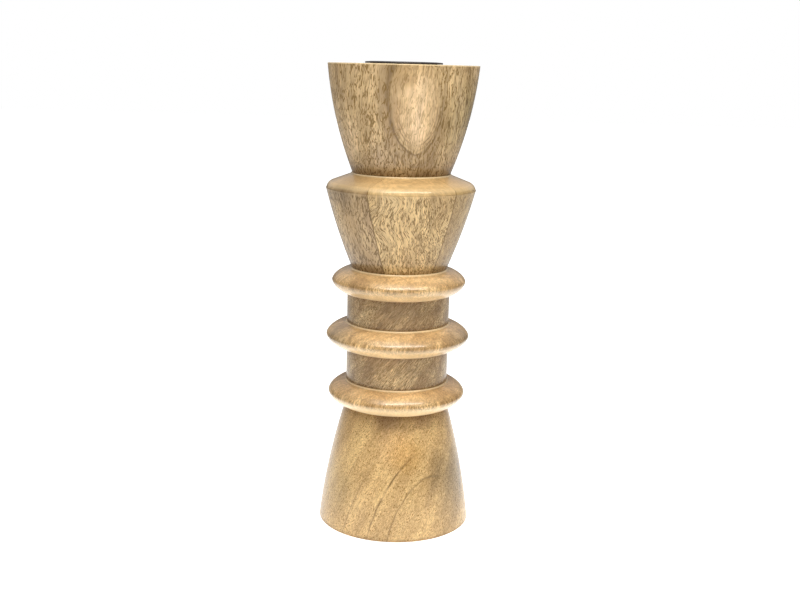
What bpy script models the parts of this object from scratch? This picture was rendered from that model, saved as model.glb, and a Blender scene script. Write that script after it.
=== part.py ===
"""A turned wooden candlestick, 305 mm tall.

Eight turned sections are threaded on a steel tie rod: a flared base, three beads with two plain
collars between them, a shouldered cone glued up from three boards, and a bowl. A nut and washer
at each end clamp the stack. A pressed metal candle cup drops into the bowl and lifts out again,
and a felt pad is let into the underside of the base.

Metres, +Z up. The origin is on the axis, in the plane that the candlestick stands on.
"""

import math

import bmesh
import bpy
from mathutils import Matrix

MM = 0.001

# Clearance between pieces that touch, and the number of facets round each turned piece.
GAP = 0.3 * MM
SEGMENTS = 48
SMALL_SEGMENTS = 24
ARC_STEPS = 5

# The felt pad stands a little proud of the base, so the wood starts above the origin.
FELT_PROUD = 0.5 * MM
FELT_RADIUS = 45.5 * MM
FELT_RECESS_DEPTH = 1.5 * MM

# Heights of the turned sections, from the foot to the rim. They add up to 303 mm.
BASE_HEIGHT = 80.0 * MM
LOWER_RING_HEIGHT = 17.1 * MM
LOWER_NECK_HEIGHT = 21.4 * MM
MIDDLE_RING_HEIGHT = 17.75 * MM
UPPER_NECK_HEIGHT = 19.15 * MM
UPPER_RING_HEIGHT = 17.0 * MM
CONE_HEIGHT = 61.85 * MM
BOWL_HEIGHT = 68.75 * MM

# Outer radii, and how far each flank bulges beyond the straight line between its ends.
FOOT_RADIUS = 50.75 * MM
BASE_TOP_RADIUS = 34.2 * MM
BASE_BULGE = 1.75 * MM
NECK_RADIUS = 33.85 * MM
LOWER_RING_RADIUS = 45.6 * MM
MIDDLE_RING_RADIUS = 47.4 * MM
UPPER_RING_RADIUS = 44.1 * MM
CONE_FOOT_RADIUS = 31.4 * MM
CONE_BULGE = 1.1 * MM
SHOULDER_RADIUS = 49.4 * MM
SHOULDER_DROP = 7.3 * MM
SHOULDER_FILLET = 5.2 * MM
BOWL_FOOT_RADIUS = 31.85 * MM
RIM_RADIUS = 48.5 * MM
BOWL_BULGE = 2.55 * MM

# A bead's section is a superellipse: its widest circle lies this far down its height, and an
# exponent under 2 makes its nose keener than an ellipse's.
BEAD_NOSE = 0.5
BEAD_EXPONENT = 1.6

ARRIS_ROUND = 0.6 * MM
FOOT_ROUND = 1.0 * MM

# Glue planes of the cone: the outward normal of the first, as an angle from +X, and each plane's
# distance from the axis. The second plane is square to the first.
GLUE_ANGLE = math.radians(-40)
GLUE_OFFSET = 12.4 * MM
CROSS_GLUE_OFFSET = 4.0 * MM
BOARD_REACH = 70 * MM

# Tie rod and its fittings, M8.
ROD_RADIUS = 4.0 * MM
ROD_BORE_RADIUS = 4.5 * MM
ROD_STICKS_OUT = 2.2 * MM
ROD_CHAMFER = 0.8 * MM
NUT_ACROSS_FLATS = 13.0 * MM
NUT_HEIGHT = 6.5 * MM
NUT_CHAMFER = 0.8 * MM
WASHER_RADIUS = 12.0 * MM
WASHER_THICKNESS = 1.6 * MM
FASTENER_CLEARANCE = 0.2 * MM
COUNTERBORE_RADIUS = 14.0 * MM
BOTTOM_COUNTERBORE_DEPTH = 13.0 * MM
TOP_COUNTERBORE_DEPTH = 13.0 * MM

# Socket in the bowl, and the candle cup that hangs in it by its flange.
SOCKET_RADIUS = 21.8 * MM
SOCKET_DEPTH = 22.0 * MM
SOCKET_CHAMFER = 0.8 * MM
CUP_BORE_RADIUS = 20.0 * MM
CUP_WALL = 1.0 * MM
CUP_DEPTH = 20.0 * MM
CUP_CORNER = 3.0 * MM
FLANGE_RADIUS = 24.8 * MM
FLANGE_EDGE_HEIGHT = 1.0 * MM
FLANGE_DOME_HEIGHT = 1.4 * MM
FLANGE_ROUND = 0.5 * MM
CUP_LIP_ROUND = 0.9 * MM

# Levels worked out from the heights above.
WOOD_BOTTOM = FELT_PROUD
LOWER_RING_BOTTOM = WOOD_BOTTOM + BASE_HEIGHT
LOWER_NECK_BOTTOM = LOWER_RING_BOTTOM + LOWER_RING_HEIGHT
MIDDLE_RING_BOTTOM = LOWER_NECK_BOTTOM + LOWER_NECK_HEIGHT
UPPER_NECK_BOTTOM = MIDDLE_RING_BOTTOM + MIDDLE_RING_HEIGHT
UPPER_RING_BOTTOM = UPPER_NECK_BOTTOM + UPPER_NECK_HEIGHT
CONE_BOTTOM = UPPER_RING_BOTTOM + UPPER_RING_HEIGHT
BOWL_BOTTOM = CONE_BOTTOM + CONE_HEIGHT
RIM_LEVEL = BOWL_BOTTOM + BOWL_HEIGHT
FELT_TOP = WOOD_BOTTOM + FELT_RECESS_DEPTH - GAP
BOTTOM_CLAMP_LEVEL = WOOD_BOTTOM + FELT_RECESS_DEPTH + BOTTOM_COUNTERBORE_DEPTH
SOCKET_FLOOR = RIM_LEVEL - SOCKET_DEPTH
TOP_CLAMP_LEVEL = SOCKET_FLOOR - TOP_COUNTERBORE_DEPTH
FASTENER_STACK = GAP + WASHER_THICKNESS + GAP + NUT_HEIGHT

COLLECTION_NAME = "turned_candlestick"


def clear_scene():
    """Remove every object, so that the model starts from nothing."""
    for item in list(bpy.data.objects):
        bpy.data.objects.remove(item, do_unlink=True)


def new_collection(name):
    collection = bpy.data.collections.new(name)
    bpy.context.scene.collection.children.link(collection)
    return collection


def material(name, colour, roughness, metallic=0.0):
    """A Principled BSDF with a plain colour (linear RGB), roughness and metallic value."""
    made = bpy.data.materials.new(name)
    made.use_nodes = True
    shader = made.node_tree.nodes["Principled BSDF"]
    shader.inputs["Base Color"].default_value = (*colour, 1.0)
    shader.inputs["Roughness"].default_value = roughness
    shader.inputs["Metallic"].default_value = metallic
    made.diffuse_color = (*colour, 1.0)
    return made


def arc(start, end, bulge, steps=ARC_STEPS):
    """Points of a shallow arc in the (r, z) plane that bulges to the left of its direction."""
    (r0, z0), (r1, z1) = start, end
    chord = math.hypot(r1 - r0, z1 - z0)
    radius = (chord * chord / 4 + bulge * bulge) / (2 * bulge)
    half_angle = math.asin(chord / (2 * radius))
    along = ((r1 - r0) / chord, (z1 - z0) / chord)
    outward = (-along[1], along[0])
    points = []
    for step in range(steps + 1):
        angle = half_angle * (2 * step / steps - 1)
        run = chord / 2 + radius * math.sin(angle)
        rise = radius * (math.cos(angle) - math.cos(half_angle))
        points.append((r0 + along[0] * run + outward[0] * rise, z0 + along[1] * run + outward[1] * rise))
    return points


def fillet(before, corner, after, radius, steps=3):
    """Points of the round that replaces a corner of an outline."""
    towards = []
    for end in (before, after):
        length = math.hypot(end[0] - corner[0], end[1] - corner[1])
        towards.append(((end[0] - corner[0]) / length, (end[1] - corner[1]) / length))
    cosine = towards[0][0] * towards[1][0] + towards[0][1] * towards[1][1]
    half_angle = math.acos(cosine) / 2
    bisector = (towards[0][0] + towards[1][0], towards[0][1] + towards[1][1])
    length = math.hypot(*bisector)
    reach = radius / math.sin(half_angle)
    centre = (corner[0] + bisector[0] / length * reach, corner[1] + bisector[1] / length * reach)
    tangent = radius / math.tan(half_angle)
    ends = [(corner[0] + way[0] * tangent, corner[1] + way[1] * tangent) for way in towards]
    angles = [math.atan2(end[1] - centre[1], end[0] - centre[0]) for end in ends]
    sweep = (angles[1] - angles[0] + math.pi) % (2 * math.pi) - math.pi
    turns = [angles[0] + sweep * step / steps for step in range(steps + 1)]
    return [(centre[0] + radius * math.cos(turn), centre[1] + radius * math.sin(turn)) for turn in turns]


def bead(top, nose, bottom, steps=ARC_STEPS):
    """Points of a bead's outer side: two superellipse quarters that meet at its nose."""
    points = []
    for step in range(2 * steps + 1):
        angle = math.pi * step / (2 * steps)
        inner = top if step <= steps else bottom
        across = math.sin(angle) ** (2 / BEAD_EXPONENT)
        along = abs(math.cos(angle)) ** (2 / BEAD_EXPONENT)
        points.append((inner[0] + (nose[0] - inner[0]) * across, nose[1] + (inner[1] - nose[1]) * along))
    return points


def turned(name, profile, made_of, segments=SEGMENTS):
    """A piece turned about Z from a profile of (r, z) points that runs down its outer side.

    A profile that starts and ends on the axis stays open; any other is closed into a loop.
    """
    on_axis = profile[0][0] == 0.0 and profile[-1][0] == 0.0
    count = len(profile)
    edges = [(index, (index + 1) % count) for index in range(count - 1 if on_axis else count)]
    mesh = bpy.data.meshes.new(name)
    mesh.from_pydata([(r, 0.0, z) for r, z in profile], edges, [])
    piece = bpy.data.objects.new(name, mesh)
    PARTS.objects.link(piece)
    mesh.materials.append(made_of)
    screw = piece.modifiers.new("Turning", "SCREW")
    screw.axis = "Z"
    screw.angle = 2 * math.pi
    screw.steps = segments
    screw.render_steps = segments
    screw.use_merge_vertices = True
    screw.merge_threshold = 0.00001
    screw.use_smooth_shade = True
    return piece


def bored(outer, bore_radius=ROD_BORE_RADIUS):
    """Close an outer profile with flat ends and the bore for the tie rod."""
    return outer + [(bore_radius, outer[-1][1]), (bore_radius, outer[0][1])]


def make_base():
    top = LOWER_RING_BOTTOM - GAP
    recess = WOOD_BOTTOM + FELT_RECESS_DEPTH
    recess_radius = FELT_RADIUS + GAP
    flank = arc((BASE_TOP_RADIUS, top), (FOOT_RADIUS, WOOD_BOTTOM), BASE_BULGE, 8)
    foot = fillet(flank[-2], flank[-1], (0.0, WOOD_BOTTOM), FOOT_ROUND)
    underside = [
        (recess_radius, WOOD_BOTTOM),
        (recess_radius, recess),
        (COUNTERBORE_RADIUS, recess),
        (COUNTERBORE_RADIUS, BOTTOM_CLAMP_LEVEL),
        (ROD_BORE_RADIUS, BOTTOM_CLAMP_LEVEL),
        (ROD_BORE_RADIUS, top),
    ]
    turned("base", flank[:-1] + foot + underside, DARK_WOOD)


def make_ring(name, bottom, height, radius, top_radius, bottom_radius):
    top = bottom + height - GAP
    nose = bottom + height * (1 - BEAD_NOSE)
    turned(name, bored(bead((top_radius, top), (radius, nose), (bottom_radius, bottom))), GOLDEN_WOOD)


def make_neck(name, bottom, height):
    top = bottom + height - GAP
    turned(name, bored([(NECK_RADIUS, top), (NECK_RADIUS, bottom)]), DARK_WOOD)


def board_cutter(name, low, high):
    """A box that covers one board's share of the cone, in the glue planes' own frame."""
    mesh = bpy.data.meshes.new(name)
    shape = bmesh.new()
    bmesh.ops.create_cube(shape, size=1.0)
    size = [high[axis] - low[axis] for axis in range(3)]
    middle = [(high[axis] + low[axis]) / 2 for axis in range(3)]
    bmesh.ops.transform(shape, matrix=Matrix.Diagonal((*size, 1.0)), verts=shape.verts)
    bmesh.ops.translate(shape, vec=middle, verts=shape.verts)
    shape.to_mesh(mesh)
    shape.free()
    cutter = bpy.data.objects.new(name, mesh)
    CUTTERS.objects.link(cutter)
    cutter.rotation_euler = (0.0, 0.0, GLUE_ANGLE)
    cutter.hide_render = True
    cutter.display_type = "WIRE"
    return cutter


def make_cone_boards():
    """The cone is one turning, cut along its two glue planes into three boards."""
    top = BOWL_BOTTOM - GAP
    shoulder_top = (BOWL_FOOT_RADIUS, top)
    corner = (SHOULDER_RADIUS, BOWL_BOTTOM - SHOULDER_DROP)
    foot = (CONE_FOOT_RADIUS, CONE_BOTTOM)
    flank = arc(corner, foot, CONE_BULGE, 8)
    shoulder = fillet(shoulder_top, corner, flank[1], SHOULDER_FILLET, 5)
    profile = bored([shoulder_top] + shoulder + flank[2:])
    low, high = CONE_BOTTOM - BOARD_REACH, BOWL_BOTTOM + BOARD_REACH
    near, far = GLUE_OFFSET + GAP / 2, GLUE_OFFSET - GAP / 2
    front, right = -CROSS_GLUE_OFFSET - GAP / 2, -CROSS_GLUE_OFFSET + GAP / 2
    shares = {
        "cone_board_back": ((-BOARD_REACH, -BOARD_REACH, low), (far, BOARD_REACH, high), DARK_WOOD),
        "cone_board_front": ((near, -BOARD_REACH, low), (BOARD_REACH, front, high), PALE_WOOD),
        "cone_board_right": ((near, right, low), (BOARD_REACH, BOARD_REACH, high), GOLDEN_WOOD),
    }
    for name, (lowest, highest, wood) in shares.items():
        board = turned(name, profile, wood)
        cut = board.modifiers.new("Board", "BOOLEAN")
        cut.operation = "INTERSECT"
        cut.solver = "EXACT"
        cut.object = board_cutter(name + "_share", lowest, highest)


def make_bowl():
    flank = arc((RIM_RADIUS, RIM_LEVEL), (BOWL_FOOT_RADIUS, BOWL_BOTTOM), BOWL_BULGE, 9)
    rim = fillet((SOCKET_RADIUS, RIM_LEVEL), flank[0], flank[1], ARRIS_ROUND)
    inside = [
        (ROD_BORE_RADIUS, BOWL_BOTTOM),
        (ROD_BORE_RADIUS, TOP_CLAMP_LEVEL),
        (COUNTERBORE_RADIUS, TOP_CLAMP_LEVEL),
        (COUNTERBORE_RADIUS, SOCKET_FLOOR),
        (SOCKET_RADIUS, SOCKET_FLOOR),
        (SOCKET_RADIUS, RIM_LEVEL - SOCKET_CHAMFER),
        (SOCKET_RADIUS + SOCKET_CHAMFER, RIM_LEVEL),
    ]
    turned("bowl", rim + flank[1:] + inside, PALE_WOOD)


def make_candle_cup():
    """A pressed cup with a domed flange; it stands on the rim of the socket."""
    seat = RIM_LEVEL + GAP
    floor = seat - CUP_DEPTH
    outer_radius = CUP_BORE_RADIUS + CUP_WALL
    lip = (CUP_BORE_RADIUS, seat + FLANGE_DOME_HEIGHT)
    edge = (FLANGE_RADIUS, seat + FLANGE_EDGE_HEIGHT)
    inner_corner = (CUP_BORE_RADIUS, floor + CUP_WALL)
    outer_corner = (outer_radius, floor)
    profile = [(0.0, floor + CUP_WALL)]
    profile += fillet(profile[0], inner_corner, lip, CUP_CORNER - CUP_WALL)
    profile += fillet(inner_corner, lip, edge, CUP_LIP_ROUND)
    profile += fillet(lip, edge, (FLANGE_RADIUS, seat), FLANGE_ROUND)
    profile += [(FLANGE_RADIUS, seat), (outer_radius, seat)]
    profile += fillet((outer_radius, seat), outer_corner, (0.0, floor), CUP_CORNER)
    profile += [(0.0, floor)]
    turned("candle_cup", profile, BLACK_METAL)


def make_tie_rod():
    bottom = BOTTOM_CLAMP_LEVEL - FASTENER_STACK - ROD_STICKS_OUT
    top = TOP_CLAMP_LEVEL + FASTENER_STACK + ROD_STICKS_OUT
    profile = [
        (0.0, top),
        (ROD_RADIUS - ROD_CHAMFER, top),
        (ROD_RADIUS, top - ROD_CHAMFER),
        (ROD_RADIUS, bottom + ROD_CHAMFER),
        (ROD_RADIUS - ROD_CHAMFER, bottom),
        (0.0, bottom),
    ]
    turned("tie_rod", profile, STEEL, SMALL_SEGMENTS)


def make_washer(name, bottom):
    outer = [(WASHER_RADIUS, bottom + WASHER_THICKNESS), (WASHER_RADIUS, bottom)]
    turned(name, bored(outer), STEEL, SMALL_SEGMENTS)


def make_nut(name, bottom):
    """A hexagon nut: a prism whose corners are turned off, with a plain bore."""
    corner_radius = NUT_ACROSS_FLATS / 2 / math.cos(math.pi / 6)
    mesh = bpy.data.meshes.new(name)
    shape = bmesh.new()
    bmesh.ops.create_cone(
        shape, cap_ends=True, segments=6, radius1=corner_radius, radius2=corner_radius, depth=NUT_HEIGHT
    )
    shape.to_mesh(mesh)
    shape.free()
    mesh.materials.append(STEEL)
    nut = bpy.data.objects.new(name, mesh)
    PARTS.objects.link(nut)
    nut.location = (0.0, 0.0, bottom + NUT_HEIGHT / 2)
    envelope = corner_radius + GAP
    flat_top = corner_radius - NUT_CHAMFER
    low, high = bottom - GAP, bottom + NUT_HEIGHT + GAP
    drop = NUT_CHAMFER / 2 + GAP
    hole_radius = ROD_RADIUS + FASTENER_CLEARANCE
    outer = [
        (flat_top - GAP, high),
        (envelope, high - drop - GAP),
        (envelope, low + drop + GAP),
        (flat_top - GAP, low),
    ]
    tool = turned(name + "_envelope", bored(outer, hole_radius), STEEL, SMALL_SEGMENTS)
    PARTS.objects.unlink(tool)
    CUTTERS.objects.link(tool)
    tool.hide_render = True
    tool.display_type = "WIRE"
    cut = nut.modifiers.new("Chamfers and bore", "BOOLEAN")
    cut.operation = "INTERSECT"
    cut.solver = "EXACT"
    cut.object = tool


def make_fasteners():
    washer_bottom = BOTTOM_CLAMP_LEVEL - GAP - WASHER_THICKNESS
    make_washer("bottom_washer", washer_bottom)
    make_nut("bottom_nut", washer_bottom - GAP - NUT_HEIGHT)
    washer_bottom = TOP_CLAMP_LEVEL + GAP
    make_washer("top_washer", washer_bottom)
    make_nut("top_nut", washer_bottom + WASHER_THICKNESS + GAP)


def make_felt_pad():
    profile = [(0.0, FELT_TOP), (FELT_RADIUS, FELT_TOP), (FELT_RADIUS, 0.0), (0.0, 0.0)]
    turned("felt_pad", profile, FELT)


clear_scene()
PARTS = new_collection(COLLECTION_NAME)
CUTTERS = new_collection("cutters")

PALE_WOOD = material("pale_wood", (0.47, 0.29, 0.13), 0.38)
GOLDEN_WOOD = material("golden_wood", (0.55, 0.33, 0.14), 0.32)
DARK_WOOD = material("dark_wood", (0.36, 0.23, 0.11), 0.40)
BLACK_METAL = material("black_metal", (0.02, 0.02, 0.022), 0.42, 0.6)
STEEL = material("zinc_steel", (0.55, 0.55, 0.56), 0.35, 1.0)
FELT = material("green_felt", (0.02, 0.06, 0.03), 0.95)

make_base()
make_ring(
    "lower_ring", LOWER_RING_BOTTOM, LOWER_RING_HEIGHT, LOWER_RING_RADIUS, NECK_RADIUS, BASE_TOP_RADIUS
)
make_neck("lower_neck", LOWER_NECK_BOTTOM, LOWER_NECK_HEIGHT)
make_ring(
    "middle_ring", MIDDLE_RING_BOTTOM, MIDDLE_RING_HEIGHT, MIDDLE_RING_RADIUS, NECK_RADIUS, NECK_RADIUS
)
make_neck("upper_neck", UPPER_NECK_BOTTOM, UPPER_NECK_HEIGHT)
make_ring(
    "upper_ring", UPPER_RING_BOTTOM, UPPER_RING_HEIGHT, UPPER_RING_RADIUS, CONE_FOOT_RADIUS, NECK_RADIUS
)
make_cone_boards()
make_bowl()
make_candle_cup()
make_tie_rod()
make_fasteners()
make_felt_pad()
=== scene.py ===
"""The looks of the turned candlestick: lacquered mango wood, a black metal candle cup, zinc-plated
fittings and a felt pad, on a pale floor in soft studio light."""

import math

import bmesh
import bpy
from mathutils import Matrix, Vector


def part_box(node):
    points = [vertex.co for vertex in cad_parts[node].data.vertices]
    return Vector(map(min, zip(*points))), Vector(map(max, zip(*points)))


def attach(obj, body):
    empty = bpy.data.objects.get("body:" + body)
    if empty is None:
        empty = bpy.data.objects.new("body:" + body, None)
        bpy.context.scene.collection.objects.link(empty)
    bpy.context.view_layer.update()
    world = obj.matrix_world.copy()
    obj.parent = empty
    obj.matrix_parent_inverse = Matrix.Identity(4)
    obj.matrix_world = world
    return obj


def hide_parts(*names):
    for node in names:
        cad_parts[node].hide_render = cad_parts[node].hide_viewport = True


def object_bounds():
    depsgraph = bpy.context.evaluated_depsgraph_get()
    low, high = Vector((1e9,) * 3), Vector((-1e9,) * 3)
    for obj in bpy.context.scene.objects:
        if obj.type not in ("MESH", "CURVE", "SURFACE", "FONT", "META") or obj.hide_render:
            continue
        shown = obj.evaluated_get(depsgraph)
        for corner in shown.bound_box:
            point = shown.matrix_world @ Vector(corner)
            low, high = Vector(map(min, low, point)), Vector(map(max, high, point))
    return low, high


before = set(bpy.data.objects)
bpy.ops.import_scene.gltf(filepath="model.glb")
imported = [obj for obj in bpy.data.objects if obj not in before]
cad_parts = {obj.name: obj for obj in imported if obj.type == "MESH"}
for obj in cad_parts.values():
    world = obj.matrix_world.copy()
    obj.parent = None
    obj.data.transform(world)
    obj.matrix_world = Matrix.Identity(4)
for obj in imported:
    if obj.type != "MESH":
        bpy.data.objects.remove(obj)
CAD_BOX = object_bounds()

MM = 0.001

# Facets round a turned piece, and the sharpest edge that is still shaded smooth.
FINE = 224
SMALL = 96
SMOOTH_ANGLE = math.radians(32)

# What shapes the turnings besides the sizes that the frame gives.
BASE_TOP_RADIUS = 34.2 * MM
BASE_BULGE = 1.75 * MM
COLLAR_RADIUS = 33.85 * MM
CONE_FOOT_RADIUS = 31.4 * MM
CONE_FOOT_INSET = 12.7 * MM
CONE_BULGE = 1.1 * MM
SHOULDER_RADIUS = 49.4 * MM
SHOULDER_DROP = 7.3 * MM
SHOULDER_FILLET = 5.2 * MM
RIM_RADIUS = 48.5 * MM
BOWL_BULGE = 2.55 * MM
BOWL_FOOT_RADIUS = 31.85 * MM
BEAD_EXPONENT = 1.6
ARRIS_ROUND = 0.45 * MM
SMALL_ROUND = 0.2 * MM
FOOT_ROUND = 0.35 * MM
SOCKET_MOUTH_ROUND = 0.8 * MM

# How far the CAD's foot round keeps its box inside the sharp corner of the base's flank.
FOOT_CORNER_CUT = 0.15 * MM

# Each turning carries a low round-edged seat for the one above, a little wider than that one's foot.
SEAT_RISE = 0.8 * MM
SEAT_MARGIN = 0.75 * MM
SEAT_ROUND = 0.6 * MM
CONTACT_GAP = 0.02 * MM

# What the CAD leaves between pieces that touch.
FIT_GAP = 0.3 * MM

# Glue planes of the cone, as in the frame: how far they are turned, and their distances.
GLUE_TURN = Matrix.Rotation(math.radians(-40), 4, "Z")
GLUE_OFFSET = 12.4 * MM
CROSS_GLUE_OFFSET = 4.0 * MM
GLUE_GAP = 0.1 * MM

ROD_BORE_RADIUS = 4.5 * MM
COUNTERBORE_RADIUS = 14.0 * MM
SOCKET_RADIUS = 21.8 * MM
SOCKET_DEPTH = 22.0 * MM
COUNTERBORE_DEPTH = 13.0 * MM
FELT_RECESS = 1.5 * MM

CAMERA_DISTANCE = 0.722
CAMERA_HEIGHT = 0.3012
CAMERA_PITCH = math.radians(11.906)
CAMERA_ROLL = math.radians(1.425)
CAMERA_YAW = math.radians(-0.095)
CAMERA_LENS = 49.98

# The sky's strength for the object, and the floor's glow, a painted bounce light from the table: how far
# out it starts to fade and has faded, its weakest share, and how much sooner it fades to the left and right.
SKY_STRENGTH = 0.2
PAINTED_GLOW_FADE = (0.15, 0.8)
PAINTED_GLOW_LEAST = 0.1
PAINTED_GLOW_SQUEEZE = 1.5
FLOOR_SIZE = 6.0

# Each softbox: its direction round the stem (-90 is the front) and above it in degrees, its
# distance and size in metres, its power and its colour. All of them face the middle of the stem.
STEM_MIDDLE = Vector((0.0, 0.0, 0.15))
SOFTBOXES = {
    "key": (-75.0, 60.0, 1.2, (1.2, 0.22), 12.5, (1.0, 0.965, 0.89)),
    "fill": (-112.0, 68.0, 1.3, (1.0, 1.0), 6.7, (1.0, 1.0, 1.0)),
    "back": (90.0, 24.0, 1.4, (2.6, 0.7), 1.8, (1.0, 1.0, 1.0)),
}


# --- Profiles, in the (r, z) plane, running down the outer side -------------------------------


def arc(start, end, bulge, steps=28):
    """Points of a shallow arc that bulges to the left of its direction."""
    (r0, z0), (r1, z1) = start, end
    chord = math.hypot(r1 - r0, z1 - z0)
    radius = (chord * chord / 4 + bulge * bulge) / (2 * bulge)
    half_angle = math.asin(chord / (2 * radius))
    along = ((r1 - r0) / chord, (z1 - z0) / chord)
    outward = (-along[1], along[0])
    points = []
    for step in range(steps + 1):
        angle = half_angle * (2 * step / steps - 1)
        run = chord / 2 + radius * math.sin(angle)
        rise = radius * (math.cos(angle) - math.cos(half_angle))
        points.append((r0 + along[0] * run + outward[0] * rise, z0 + along[1] * run + outward[1] * rise))
    return points


def fillet(before, corner, after, radius, steps=8):
    """Points of the round that replaces a corner of an outline."""
    ways = []
    for end in (before, after):
        way = Vector(end) - Vector(corner)
        ways.append(way.normalized())
    half_angle = ways[0].angle(ways[1]) / 2
    centre = Vector(corner) + (ways[0] + ways[1]).normalized() * radius / math.sin(half_angle)
    tangent = radius / math.tan(half_angle)
    arms = [Vector(corner) + way * tangent - centre for way in ways]
    turns = [math.atan2(arm.y, arm.x) for arm in arms]
    sweep = (turns[1] - turns[0] + math.pi) % (2 * math.pi) - math.pi
    points = []
    for step in range(steps + 1):
        turn = turns[0] + sweep * step / steps
        points.append((centre.x + radius * math.cos(turn), centre.y + radius * math.sin(turn)))
    return points


def bead(top, nose, bottom, steps=26):
    """Points of a bead's outer side: two superellipse quarters that meet at its nose."""
    points = []
    for step in range(2 * steps + 1):
        angle = math.pi * step / (2 * steps)
        inner = top if step <= steps else bottom
        across = abs(math.sin(angle)) ** (2 / BEAD_EXPONENT)
        along = abs(math.cos(angle)) ** (2 / BEAD_EXPONENT)
        points.append((inner[0] + (nose[0] - inner[0]) * across, nose[1] + (inner[1] - nose[1]) * along))
    return points


def seat(foot_radius, level):
    """The low seat on top of a turning, from its flat top down to where the turning's own side starts."""
    corner = (foot_radius + SEAT_MARGIN, level)
    root = (corner[0], level - SEAT_RISE)
    return fillet((0.0, level), corner, root, SEAT_ROUND, 6) + [root]


def bored(outer, bore_radius=ROD_BORE_RADIUS):
    """An outer side closed with flat ends and a bore."""
    return outer + [(bore_radius, outer[-1][1]), (bore_radius, outer[0][1])]


# --- Pieces -----------------------------------------------------------------------------------


def keep(piece, body, replaced):
    """Hand a finished piece to the frame."""
    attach(piece, body)
    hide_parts(replaced)
    return piece


def object_from(shape, name, material):
    mesh = bpy.data.meshes.new(name)
    bmesh.ops.recalc_face_normals(shape, faces=shape.faces)
    shape.to_mesh(mesh)
    shape.free()
    mesh.shade_smooth()
    mesh.set_sharp_from_angle(angle=SMOOTH_ANGLE)
    mesh.materials.append(material)
    piece = bpy.data.objects.new(name, mesh)
    bpy.context.scene.collection.objects.link(piece)
    return piece


def turn(profile, steps=FINE):
    """A bmesh turned about Z from a profile, which is closed unless it starts and ends on the axis."""
    shape = bmesh.new()
    corners = [shape.verts.new((r, 0.0, z)) for r, z in profile]
    on_axis = profile[0][0] == 0.0 and profile[-1][0] == 0.0
    pairs = list(zip(corners, corners[1:]))
    if not on_axis:
        pairs.append((corners[-1], corners[0]))
    edges = [shape.edges.new(pair) for pair in pairs]
    bmesh.ops.spin(
        shape, geom=corners + edges, cent=(0, 0, 0), axis=(0, 0, 1), angle=2 * math.pi, steps=steps,
        use_merge=True,
    )
    bmesh.ops.remove_doubles(shape, verts=shape.verts, dist=0.002 * MM)
    return shape


def turned(name, node, profile, material, body="stand", steps=FINE):
    return keep(object_from(turn(profile, steps), name, material), body, node)


def size_of(node):
    """Lowest level, highest level and outer radius of a CAD node."""
    low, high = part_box(node)
    return low.z, high.z, (high.x - low.x) / 2


def top_under(node):
    """The level to which the piece under a node reaches."""
    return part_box(node)[0].z - CONTACT_GAP


# --- Materials --------------------------------------------------------------------------------


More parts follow.
